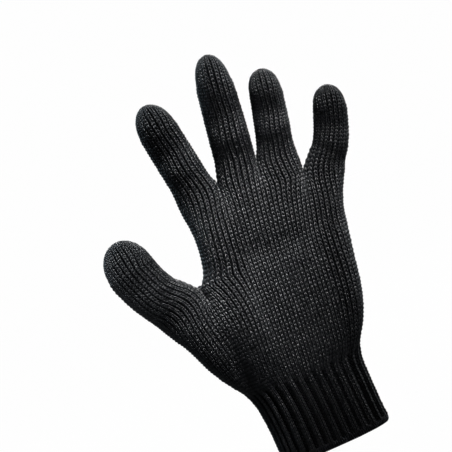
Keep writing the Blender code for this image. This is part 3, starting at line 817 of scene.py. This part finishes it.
def make_knits():
    """The grids of all the glove's tubes, from the cuff up."""
    body = np.array([closed_course(r, FIVE) for r in range(THUMB_ROW + 1)])
    heights = np.linspace(HEM_TOP - 0.6, CUFF_TOP, CUFF_COURSES + 1)[:-1]
    cuff = np.array([like_course(body[0], z) for z in heights])
    trunk = np.concatenate([cuff, body])
    trunk = even_rows(trunk, CUFF_COURSES - 6, CUFF_COURSES + 6)
    split = CUFF_COURSES + THUMB_ROW
    trunk = even_out(trunk, [(split, wale) for wale in THUMB_FORK])
    knits = {"trunk": Knit(trunk)}
    knits["trunk"].rib = 1 - smooth((np.arange(split + 1) - (CUFF_COURSES - 4.5)) / RIB_FADE)
    ends = {"trunk": trunk[-1]}
    crotches = {"neck": crotch("neck", trunk[-1], THUMB_FORK)}

    four = np.array([closed_course(r, FOUR) for r in range(THUMB_ROW, LITTLE_ROW + 1)])
    four = meet(four, first_course("four", ends, crotches))
    four = even_out(four, [(0, 0)] + [(LITTLE_ROW - THUMB_ROW, wale) for wale in LITTLE_FORK])
    knits["four"], ends["four"] = Knit(four), four[-1]
    crotches["side"] = crotch("side", four[-1], LITTLE_FORK)

    three = np.array([closed_course(r, THREE) for r in range(LITTLE_ROW, TOP_ROW + 1)])
    three = meet(three, first_course("three", ends, crotches))
    forks = [(TOP_ROW - LITTLE_ROW, wale) for wale in INDEX_FORK + RING_FORK]
    three = even_out(three, forks + [(0, RIGHT_SIDE)])
    knits["three"], ends["three"] = Knit(three), three[-1]
    crotches["low"] = crotch("low", three[-1], INDEX_FORK)
    crotches["high"] = crotch("high", three[-1], RING_FORK)

    for tube, shape in TUBES.items():
        start = line_of(tube)[1][-1] - shape["round"]
        count = round(start / COURSE)
        root = first_course(tube, ends, crotches)
        n = len(root)
        lines = [tube_ring(tube, s, n) for s in np.linspace(0.0, start, count + 1)]
        lines = meet(np.array(lines), root)
        knits[tube] = Knit(np.concatenate([lines, fingertip(tube, start, n)]), closed=True)
        knits[tube].step = start / count

    centres = [(crotches[name][0], reach) for name, (_, reach) in CROTCHES.items()]
    relax(knits, centres + [(trunk[-1][0], THUMB_SIDE_REACH)])
    return {name: knit.settle() for name, knit in knits.items()}


def add_piece(name, knit, first, last, mats, seed):
    """Courses first to last of a knit, as yarn with its lining."""
    parts = [yarns(knit, first, last, seed), lining(knit, first, last)]
    return mesh_object(name, parts, mats)


def swept(path, radius, sides=SIDES, ply=0.1, turns=0.5, closed=False):
    """A yarn along a path: vertices, quads, places on the yarn, and shares along and round it."""
    path = np.array(path, float)
    n = len(path)
    if closed:
        along = unit(np.roll(path, -1, 0) - np.roll(path, 1, 0))
    else:
        along = unit(np.gradient(path, axis=0))
    up = np.zeros_like(path)
    first = np.array([0.0, 0.0, 1.0] if abs(along[0][2]) < 0.8 else [1.0, 0.0, 0.0])
    up[0] = unit(first - along[0] * (first @ along[0]))
    for k in range(1, n):
        up[k] = unit(up[k - 1] - along[k] * (up[k - 1] @ along[k]))
    side = np.cross(along, up)
    turn = np.arange(sides) * 2 * math.pi / sides
    twist = np.arange(n)[:, None] * turns
    r = radius * (1 + ply * np.cos(2 * (turn[None] - twist)))
    ring = up[:, None] * np.cos(turn)[:, None] + side[:, None] * np.sin(turn)[:, None]
    verts = (path[:, None] + ring * r[..., None]).reshape(-1, 3)
    spans = n if closed else n - 1
    quads, along_it, round_it = tiles(spans, n, sides)
    ku = round_it / sides
    return verts, quads, flat_pairs(along_it / STEPS, ku), along_it / spans, ku


def bundle(name, strands, mats):
    """Several swept yarns as one mesh object, each with its own strip of the texture sheet."""
    parts = []
    for k, (verts, quads, own, mu, ku) in enumerate(strands):
        sheet = flat_pairs(mu, (k + 0.05 + 0.9 * ku) / len(strands))
        parts.append((verts, quads, own, sheet))
    return mesh_object(name, [joined(parts)], mats)


def rounded(path):
    """A path with its corners cut, so that it runs more smoothly."""
    a, b = path[:-1] * 0.75 + path[1:] * 0.25, path[:-1] * 0.25 + path[1:] * 0.75
    return np.concatenate([path[:1], np.stack([a, b], 1).reshape(-1, 3), path[-1:]])


def hem_section(turn):
    """The overlocked edge's section: how far in, and how high, for an angle round it."""
    middle, half, power = 1.05, 1.65, 0.8
    inward = middle - squarer(np.cos(turn), power) * half
    height = HEM_TOP / 2 - squarer(np.sin(turn), power) * (HEM_TOP / 2 - 0.05)
    return inward, height


def add_hem(mats):
    """The overlocked edge of the cuff: a thread that wraps it, over a core."""
    wraps, per_wrap, fine = 132, 14, 1440
    count = wraps * per_wrap
    rng = np.random.default_rng(7)
    noise = smooth_noise(rng, (1, count), 5)[0]
    inward, height = hem_section(np.arange(count) * 2 * math.pi / per_wrap)
    outer = cuff_ring(1.0, fine)
    centre = outer.mean(0)
    flat = points_at(np.arange(count) / count * fine, np.arange(fine + 1), shut(outer)[:, :2])
    place = flat - unit(flat - centre[:2]) * (inward + 0.10 * noise)[:, None]
    path = np.column_stack([place, np.maximum(height + 0.43, THREAD)])
    verts, quads, own, along, ku = swept(path, THREAD, sides=5, turns=0.7, closed=True)
    wrap = verts, quads, own, flat_pairs(along, 0.02 + 0.56 * ku)

    n, sections = 120, 12
    ring = cuff_ring(1.0, n)[:, None]
    out = unit((ring - centre) * [1, 1, 0])
    inward, height = hem_section(np.arange(sections)[:, None] * 2 * math.pi / sections)
    verts = ring * [1, 1, 0] - out * (0.25 + 0.8 * inward) + [0, 0, 1] * (0.25 + 0.86 * height)
    quads, along, round_it = tiles(n, n, sections)
    mu, iu = along / n, round_it / sections
    core = verts.reshape(-1, 3), quads, flat_pairs(mu * 100, iu), flat_pairs(mu, 0.62 + 0.36 * iu)
    return mesh_object("cuff_overlocked_edge", [wrap, core], mats)


def add_elastic(mats):
    """The covered elastic thread, a spiral against the inside of the cuff."""
    per_turn, turns, inset = 56, 6, 2.95
    points = []
    for k, z in enumerate(np.linspace(HEM_TOP + 4.0, 46.0, per_turn * turns + 1)):
        points.append(cuff_ring(z, per_turn, inset)[k % per_turn])
    return bundle("cuff_elastic", [swept(points, THREAD, ply=0.05)], mats)


def knot(centre, run, across, size, seed):
    """A small hitch of yarn: a loop that crosses itself, with two short ends."""
    rng = np.random.default_rng(seed)
    out = np.cross(across, run)
    t = np.linspace(0, 2.1 * math.pi, 22)
    shape = np.stack([np.sin(t), 0.45 * np.sin(2 * t + 0.4), 0.8 * np.cos(t)], 1)
    shape += 0.05 * rng.standard_normal(shape.shape)
    basis = np.stack([across, out, run])
    return rounded(centre + (shape * np.array(size)) @ basis)


def add_closures(mats):
    """The drawn-up end of each fingertip and of the thumb tip."""
    for k, tube in enumerate(TUBES):
        tip, run, across = frame_at(tube, line_of(tube)[1][-1])
        hitch = knot(tip + run * 0.3, run, across, (1.3, 1.0, 0.4), k)
        yield tube, bundle(tube + "_tip_hitch", [swept(hitch, THREAD)], mats)


# the tacks: place, size, and how far each leans to the right
TACKS = {
    "thumb_crotch_tack": ((-43.1, -2.6, 132.7), (1.3, 1.0, 1.6), 35.0),
    "index_middle_crotch_tack": ((-3.5, -5.4, 190.0), (0.9, 1.0, 1.1), 0.0),
    "middle_ring_crotch_tack": ((26.0, -5.4, 193.5), (0.9, 1.0, 1.1), 0.0),
    "ring_little_crotch_tack": ((51.75, -5.0, 176.8), (0.9, 1.0, 1.1), 0.0),
}


def add_tacks(mats):
    """The yarn ends that close the crotches between the tubes."""
    for k, (name, (centre, size, lean)) in enumerate(TACKS.items()):
        turn = math.radians(lean)
        run = np.array([math.sin(turn), 0.0, math.cos(turn)])
        across = np.array([math.cos(turn), 0.0, -math.sin(turn)])
        centre = np.array(centre)
        strands = [swept(knot(centre, run, across, size, 20 + k), 0.48)]
        strands.append(swept(knot(centre + [0.2, 0.5, -0.6], across, run, size, 40 + k), 0.44))
        yield name, bundle(name.replace("_tack", "_yarn_end"), strands, mats)


def set_input(tree, socket, value):
    """Gives a node's input a value, or links another node's output to it."""
    if isinstance(value, bpy.types.NodeSocket):
        tree.links.new(value, socket)
    else:
        socket.default_value = value


def new_node(tree, kind, **settings):
    """A shader node, with its settings, and its inputs by name or by number as i0, i1 and so on."""
    node = tree.nodes.new("ShaderNode" + kind)
    for key, value in settings.items():
        if hasattr(node, key) and key not in node.inputs:
            setattr(node, key, value)
        else:
            set_input(tree, node.inputs[int(key[1:]) if key[1:].isdigit() else key], value)
    return node


class Shader:
    """A material's nodes, made one after another."""

    def __init__(self, name):
        self.mat = bpy.data.materials.new(name)
        self.mat.use_nodes = True
        self.tree = self.mat.node_tree
        self.main = self.tree.nodes["Principled BSDF"]

    def surface(self, **values):
        """Sets or links the surface's own inputs, whose names here have _ for a space."""
        for key, value in values.items():
            set_input(self.tree, self.main.inputs[key.replace("_", " ")], value)

    def stitches(self):
        """The place on the knit: as a vector, then in wales and in courses."""
        uv = new_node(self.tree, "UVMap", uv_map="stitches").outputs["UV"]
        parts = new_node(self.tree, "SeparateXYZ", i0=uv)
        return uv, parts.outputs["X"], parts.outputs["Y"]

    def noise(self, where, scale, detail):
        """Noise between 0 and 1."""
        node = new_node(self.tree, "TexNoise", Vector=where, Scale=scale, Detail=detail)
        return node.outputs["Fac"]

    def relief(self, height, strength, distance):
        """Small bumps in the surface."""
        node = new_node(self.tree, "Bump", Strength=strength, Distance=distance, Height=height)
        self.surface(Normal=node.outputs["Normal"])

    def maths(self, operation, a, b=0.0, c=0.0):
        """One sum of up to three numbers."""
        return new_node(self.tree, "Math", operation=operation, i0=a, i1=b, i2=c).outputs[0]

    def times(self, a, b):
        """The product of two numbers."""
        return self.maths("MULTIPLY", a, b)

    def blend(self, a, b, factor):
        """A colour between two others."""
        mix = new_node(self.tree, "Mix", data_type="RGBA", Factor=factor, i6=a, i7=b)
        return mix.outputs[2]

    def ramp(self, value, *stops):
        """A colour ramp, whose stops are colours or levels of grey."""
        node = new_node(self.tree, "ValToRGB", i0=value)
        points = node.color_ramp.elements
        for k, (where, colour) in enumerate(stops):
            point = points[k] if k < 2 else points.new(where)
            point.position = where
            point.color = (colour,) * 3 + (1.0,) if isinstance(colour, float) else (*colour, 1.0)
        return node.outputs["Color"]


def yarn_material(name, dark, light, rough, sheen, glint=0.0, shade_loop_ends=False):
    """Twisted multi-filament yarn: plies, fibres, slight colour change, pale flecks of steel fibre with painted glint,
    and painted shade at its loop ends.
    """
    # the first colour is the pale of the flecks, partly the grey of steel fibre and partly painted glint; the second
    # is the near-black painted shade at the ends of the loops
    pale, painted_shade = (0.16, 0.165, 0.175, 1.0), (0.002, 0.002, 0.0025, 1.0)
    s = Shader(name)
    _, along, round_it = s.stitches()
    place = new_node(s.tree, "TexCoord").outputs["Object"]
    lay = s.maths("ADD", s.times(along, 2.0), s.times(round_it, 2.0))
    ply = s.maths("MULTIPLY_ADD", s.maths("SINE", s.times(lay, 2 * math.pi)), 0.5, 0.5)
    strand = new_node(s.tree, "CombineXYZ", X=s.times(along, 1.2), Y=s.times(lay, 5.0))
    fibre = s.noise(strand.outputs[0], 4.0, 3.0)
    broad = s.noise(place, 46.0, 2.0)
    fleck = s.noise(place, 900.0, 1.0)
    mixed = s.maths("ADD", s.times(fibre, 0.45), s.times(broad, 0.55))
    mixed = s.maths("ADD", mixed, s.times(s.maths("SUBTRACT", ply, 0.5), 0.16))
    colour = s.ramp(mixed, (0.30, dark), (0.72, light))
    # Painted glint: pale flecks at random on the yarn, partly the grey of its steel fibres
    if glint:
        glint_flecks = s.ramp(fleck, (0.66, 0.0), (0.72, 1.0))
        colour = s.blend(colour, pale, s.times(glint_flecks, glint))
    # Painted shade: the colour darkens towards the near-black shade colour at the head and foot of every loop, where
    # it passes under the next loops, and the specular level drops there too
    if shade_loop_ends:
        wave = s.maths("COSINE", s.times(along, 4 * math.pi))
        unshaded = s.maths("MULTIPLY_ADD", wave, -0.55, 0.45)
        colour = s.blend(painted_shade, colour, unshaded)
        s.surface(Specular_IOR_Level=s.times(unshaded, 0.70))
    shine = s.ramp(fibre, (0.25, rough - 0.08), (0.75, rough + 0.10))
    s.surface(Base_Color=colour, Roughness=shine)
    s.surface(Sheen_Weight=sheen, Sheen_Roughness=0.45, Sheen_Tint=(0.80, 0.86, 1.0, 1.0))
    s.relief(s.maths("ADD", s.times(ply, 0.6), s.times(fibre, 0.5)), 0.30, 0.00022)
    return s.mat


def lining_shade_material():
    """The dark inner face of the knit, whose near-black colour is also painted shade where it shows in the gaps
    between the stitches and between the wraps of the hem.
    """
    dark, light = (0.0035, 0.0035, 0.004), (0.010, 0.010, 0.012)
    s = Shader("knit_inner_face_gap_shade")
    uv, *places = s.stitches()
    waves = [s.maths("SINE", s.times(place, 2 * math.pi)) for place in places]
    purl = s.times(s.maths("ADD", *waves), 0.25)
    grain = s.noise(uv, 9.0, 3.0)
    colour = s.ramp(grain, (0.3, dark), (0.8, light))
    s.surface(Base_Color=colour, Roughness=0.95, Specular_IOR_Level=0.2)
    s.relief(s.maths("ADD", purl, s.times(grain, 0.4)), 0.7, 0.0003)
    return s.mat


# the pieces of the trunk, from the cuff up: name, slot, bodies, CAD node and last course
TRUNK_PIECES = [
    ("cuff_rib_knit_lower", "rib", ["cuff"], "rib_cuff", 9),
    ("cuff_rib_knit_upper", "rib", ["cuff"], "rib_cuff", 17),
    ("wrist_knit_lower", "knit", ["cuff", "hand"], "wrist_knit", 26),
    ("wrist_knit_upper", "knit", ["cuff", "hand"], "wrist_knit", CUFF_COURSES + 12),
    ("palm_knit_lower", "knit", ["hand"], "palm_body", CUFF_COURSES + 21),
    ("palm_knit_upper", "knit", ["hand"], "palm_body", CUFF_COURSES + THUMB_ROW),
]


def digit_pieces(tube):
    """The pieces of a finger or of the thumb: title, bodies, and what the CAD nodes are called."""
    if tube == "thumb":
        return [
            ("base_knit", ["hand", "thumb_lower"], ["root_knit", "lower_stall"]),
            ("end_knit", ["thumb_lower", "thumb_tip"], ["knuckle_knit", "tip"]),
        ]
    lower, middle, tip = (tube + end for end in ("_lower", "_middle", "_tip"))
    return [
        ("base_knit", ["hand", lower], ["root_knit", "lower_stall"]),
        ("middle_knit", [lower, middle], ["knuckle_knit"]),
        ("end_knit", [middle, tip], ["middle_stall", "end_knuckle_knit", "fingertip"]),
    ]


def put(ob, slot, bodies, nodes, start=None, end=None):
    """Sets what a piece rides on, its record slot and the CAD nodes it stands for."""
    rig.slot(ob, slot)
    if len(bodies) == 1:
        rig.ride(ob, bodies[0])
    else:
        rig.blend(ob, *bodies, start, end)
    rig.replaces(ob, *nodes)


def make_glove():
    """All the glove's pieces."""
    black = (0.004, 0.004, 0.005), (0.019, 0.0195, 0.0222)
    # the knit yarns take pale flecks with painted glint, and painted shade at the head and foot of each loop
    yarn = yarn_material("black_yarn", *black, 0.44, 0.04, 0.15, shade_loop_ends=True)
    rib = yarn_material("rib_yarn", *black, 0.46, 0.03, 0.1, shade_loop_ends=True)
    dull = (0.008, 0.008, 0.010), (0.030, 0.031, 0.036)
    thread = yarn_material("overlock_thread", *dull, 0.58, 0.3)
    grey = yarn_material("yarn_end", (0.020, 0.020, 0.023), (0.075, 0.075, 0.082), 0.60, 0.3)
    smoky = (0.012, 0.012, 0.013), (0.040, 0.040, 0.042)
    rubber = yarn_material("covered_elastic", *smoky, 0.62, 0.2)
    # the lining's near-black material is painted shade in the gaps behind the yarn
    inner = lining_shade_material()
    mats = [yarn, inner]
    knits = make_knits()
    wrist = [in_metres((-3.0, 0.0, z)) for z in WRIST_BEND]

    first = 0
    for seed, (name, slot, bodies, node, last) in enumerate(TRUNK_PIECES, 1):
        outer = rib if slot == "rib" else yarn
        ob = add_piece(name, knits["trunk"], first, last, [outer, inner], seed)
        put(ob, slot, bodies, [node], *wrist)
        first = last
    for seed, band in enumerate(("four", "three"), len(TRUNK_PIECES) + 1):
        ob = add_piece(band + "_finger_knit", knits[band], 0, knits[band].courses, mats, seed)
        put(ob, "knit", ["hand"], [band + "_finger_band"])

    for k, tube in enumerate(TUBES):
        knit, bends, pieces = knits[tube], BENDS[tube], digit_pieces(tube)
        first = 0
        for part, (title, bodies, nodes) in enumerate(pieces):
            ends = [in_metres(frame_at(tube, s)[0]) for s in bends[part]]
            last = knit.courses
            if part + 1 < len(pieces):
                last = round((bends[part][1] + bends[part + 1][0]) / 2 / knit.step)
            ob = add_piece(tube + "_" + title, knit, first, last, mats, 20 + 4 * k + part)
            nodes = [tube + "_" + node for node in nodes]
            put(ob, "knit", bodies, nodes, *ends)
            first = last

    # the hem's core takes the lining's near-black colour, painted shade between the wraps
    put(add_hem([thread, inner]), "hem", ["cuff"], ["cuff_hem"])
    put(add_elastic([rubber]), "elastic", ["cuff"], ["cuff_elastic_thread"])
    for tube, ob in add_closures([thread]):
        put(ob, "closure", [tube + "_tip"], [tube + "_tip_closure"])
    for name, ob in add_tacks([grey]):
        put(ob, "tack", ["hand"], [name])


def add_light(name, place, aim, size, power, spread, colour):
    """A soft square lamp."""
    data = bpy.data.lights.new(name, "AREA")
    data.shape = "SQUARE"
    data.size = size
    data.energy = power
    data.spread = math.radians(spread)
    data.color = colour
    ob = new_object(name, data)
    ob.location = place
    ob.rotation_mode = "QUATERNION"
    direction = unit(np.array(aim, float) - np.array(place, float))
    ob.rotation_quaternion = mathutils.Vector(direction).to_track_quat("-Z", "Y")


def shown_white(tree, out, lit, white, share):
    """Lets the camera see a surface or the surroundings mostly as plain white."""
    seen = new_node(tree, "LightPath").outputs["Is Camera Ray"]
    part = new_node(tree, "Math", operation="MULTIPLY", i0=seen, i1=share).outputs[0]
    mix = new_node(tree, "MixShader", i0=part, i1=lit.outputs[0], i2=white.outputs[0])
    tree.links.new(mix.outputs[0], out.inputs["Surface"])


def add_studio():
    """A pale floor, pale surroundings and soft lamps."""
    s = Shader("pale_floor")
    plain = (1.0, 1.0, 1.0, 1.0)
    s.surface(Base_Color=(0.15, 0.15, 0.15, 1.0), Roughness=0.9, Specular_IOR_Level=0.1)
    glow = new_node(s.tree, "Emission", Color=plain, Strength=1.02)
    shown_white(s.tree, s.tree.nodes["Material Output"], s.main, glow, 0.97)
    mesh = bpy.data.meshes.new("studio_floor")
    size = 8.0
    corners = [(-size, -size, 0), (size, -size, 0), (size, size, 0), (-size, size, 0)]
    mesh.from_pydata(corners, [], [(0, 1, 2, 3)])
    mesh.materials.append(s.mat)
    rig.stage(new_object("studio_floor", mesh))
    world = bpy.data.worlds.new("studio")
    world.use_nodes = True
    tree = world.node_tree
    lit = tree.nodes["Background"]
    lit.inputs["Color"].default_value = (0.92, 0.96, 1.0, 1.0)
    lit.inputs["Strength"].default_value = SURROUND
    white = new_node(tree, "Background", Color=plain, Strength=0.99)
    shown_white(tree, tree.nodes["World Output"], lit, white, 1.0)
    bpy.context.scene.world = world
    bpy.context.scene.view_settings.view_transform = "Standard"
    for lamp in LAMPS:
        add_light(*lamp)


def add_camera():
    """The camera in front of the palm, rolled so that the glove leans to the left."""
    data = bpy.data.cameras.new("camera")
    distance, seen = 1.30, 0.3015
    data.sensor_width = 36.0
    data.lens = data.sensor_width * distance / seen
    data.clip_start, data.clip_end = 0.05, 50.0
    ob = new_object("camera", data)
    lift, roll = math.radians(1.0), math.radians(24.0)
    aim = np.array([-0.0103, -0.010, 0.1641])
    forward = np.array([0.0, math.cos(lift), -math.sin(lift)])
    up = np.array([math.sin(roll), 0.0, math.cos(roll)])
    up = unit(up - forward * (up @ forward))
    right = np.cross(forward, up)
    turn = mathutils.Matrix(np.stack([right, up, -forward], 1).tolist())
    ob.matrix_world = mathutils.Matrix.Translation(aim - forward * distance) @ turn.to_4x4()
    bpy.context.scene.camera = ob


make_glove()
add_studio()
add_camera()

low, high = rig.bounds()
with open("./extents.json", "w") as out:
    json.dump({"cad": [list(CAD_BOX[0]), list(CAD_BOX[1])], "visual": [list(low), list(high)]}, out)
